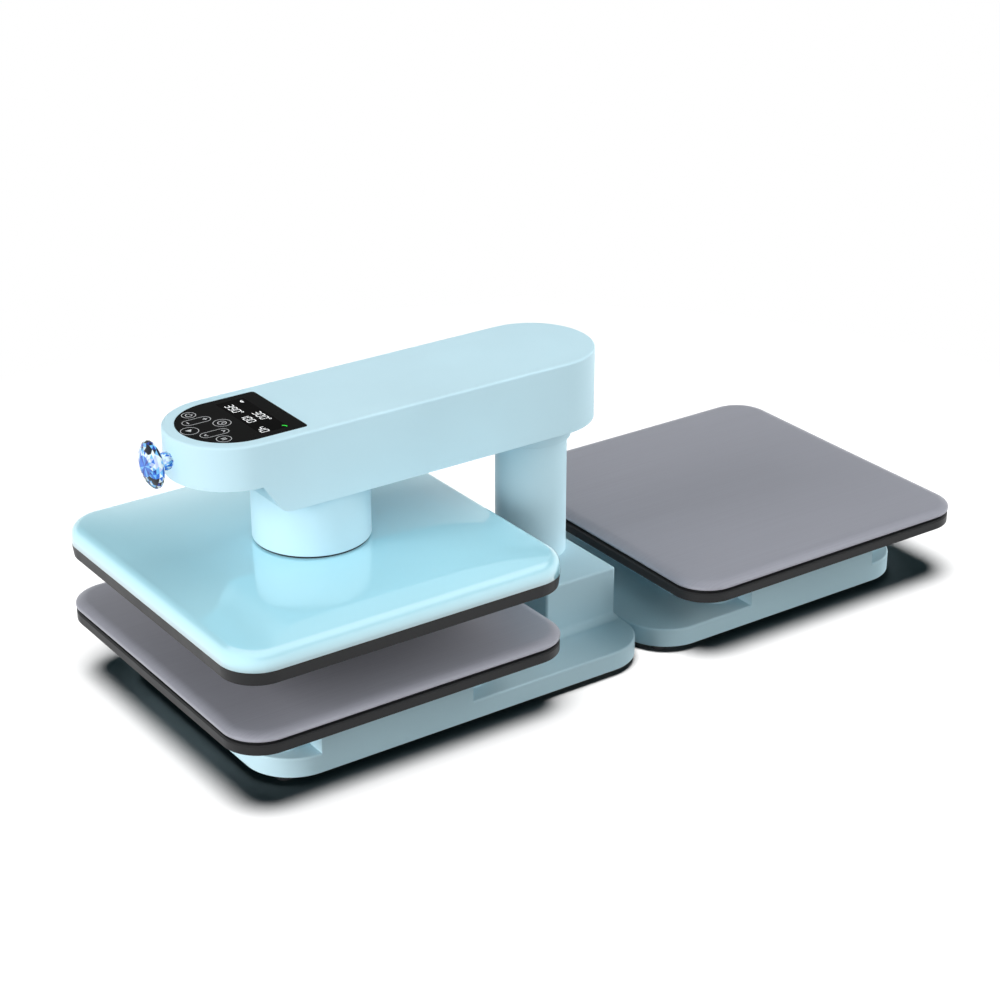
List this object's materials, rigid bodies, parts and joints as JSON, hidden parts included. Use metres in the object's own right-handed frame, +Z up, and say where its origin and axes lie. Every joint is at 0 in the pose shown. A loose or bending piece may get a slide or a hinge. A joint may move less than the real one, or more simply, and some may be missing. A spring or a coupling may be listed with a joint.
{
  "type": "dual station heat press",
  "caption": "Heat press with two padded lower stations side by side and a swing arm on a post that carries a heated head from one station to the other and presses it down.",
  "frame": {"origin": "on the floor under the post's axis, midway between the two stations", "axes": "+X from the station under the arm towards the other one, +Y to the back, +Z up"},
  "size_m": [0.92, 0.38, 0.3211],
  "materials": {
    "body_satin": "satin pale blue",
    "cover_gloss": "high gloss pale blue",
    "dark_rim": "satin dark grey",
    "pad_skin": "grey foam with a fine-lined skin",
    "foot_rubber": "matt black",
    "black_plastic": "satin black",
    "motor_case": "black",
    "circuit_board": "green",
    "panel_glass": "gloss black",
    "crystal": "cut and polished",
    "bronze": "machined",
    "heat_aluminium": "non-stick coated",
    "fibre_board": "pressed fibre",
    "steel": "machined"
  },
  "bodies": {
    "base": {"base_shell_a": "body_satin", "base_shell_b": "body_satin", "floor_plate_a": "steel", "floor_plate_b": "steel", "link_bars": "steel", "floor_bolts": "steel", "feet": "foot_rubber", "foot_screws": "steel", "tray_a": "dark_rim", "tray_b": "dark_rim", "tray_screws": "steel", "pad_a": "pad_skin", "pad_b": "pad_skin", "column": "steel", "post_sleeve": "body_satin", "support_ring": "steel", "thrust_washer": "bronze", "retaining_nut": "steel", "power_inlet": "black_plastic", "switch_frame": "black_plastic", "power_board": "circuit_board", "power_parts": "black_plastic"},
    "rocker": {"rocker": "black_plastic"},
    "arm": {"arm_shell": "body_satin", "arm_floor": "body_satin", "arm_plate": "steel", "swivel_hub": "steel", "hub_bushes": "bronze", "hub_bolts": "steel", "stop_pin": "steel", "drive_plate": "steel", "drive_spacers": "steel", "gear_motor": "motor_case", "guide_bushes": "bronze", "screw_bearings": "steel", "cover_posts": "steel", "arm_screws": "steel", "control_board": "circuit_board", "display_module": "black_plastic", "panel_glass": "panel_glass", "crystal_knob": "crystal", "knob_stud": "steel"},
    "screw": {"lead_screw": "steel", "screw_gear": "bronze"},
    "pinion": {"motor_pinion": "steel"},
    "head": {"neck_sleeve": "body_satin", "carriage_plate": "steel", "carriage_bolts": "steel", "guide_rods": "steel", "nut_tube": "steel", "lift_nut": "bronze", "head_cover": "cover_gloss", "head_rim": "dark_rim", "mount_plate": "steel", "plate_standoffs": "steel", "insulation_board": "fibre_board", "heating_element": "steel", "thermal_cutout": "black_plastic", "heat_plate": "heat_aluminium"}
  },
  "joints": [
    {"name": "arm_swing", "type": "hinge", "parent": "base", "child": "arm", "pos_m": [0, 0, 0.25], "axis": [0, 0, -1], "range_deg": [0, 180]},
    {"name": "head_press", "type": "slide", "parent": "arm", "child": "head", "axis": [0, 0, -1], "range_m": [0, 0.0492]},
    {"name": "screw_spin", "type": "hinge", "parent": "arm", "child": "screw", "pos_m": [-0.27, 0, 0.3], "axis": [0, 0, 1], "range_deg": [0, 1780]},
    {"name": "pinion_spin", "type": "hinge", "parent": "arm", "child": "pinion", "pos_m": [-0.2375, 0, 0.3], "axis": [0, 0, 1], "range_deg": [-5920, 0]},
    {"name": "mains_switch", "type": "hinge", "parent": "base", "child": "rocker", "pos_m": [0.022, 0.0925, 0.06125], "axis": [-1, 0, 0], "range_deg": [0, 20]}
  ],
  "couplings": [
    {"joint": "screw_spin", "follows": "head_press", "rad_per_m": 628.32},
    {"joint": "pinion_spin", "follows": "head_press", "rad_per_m": -2094.4}
  ]
}
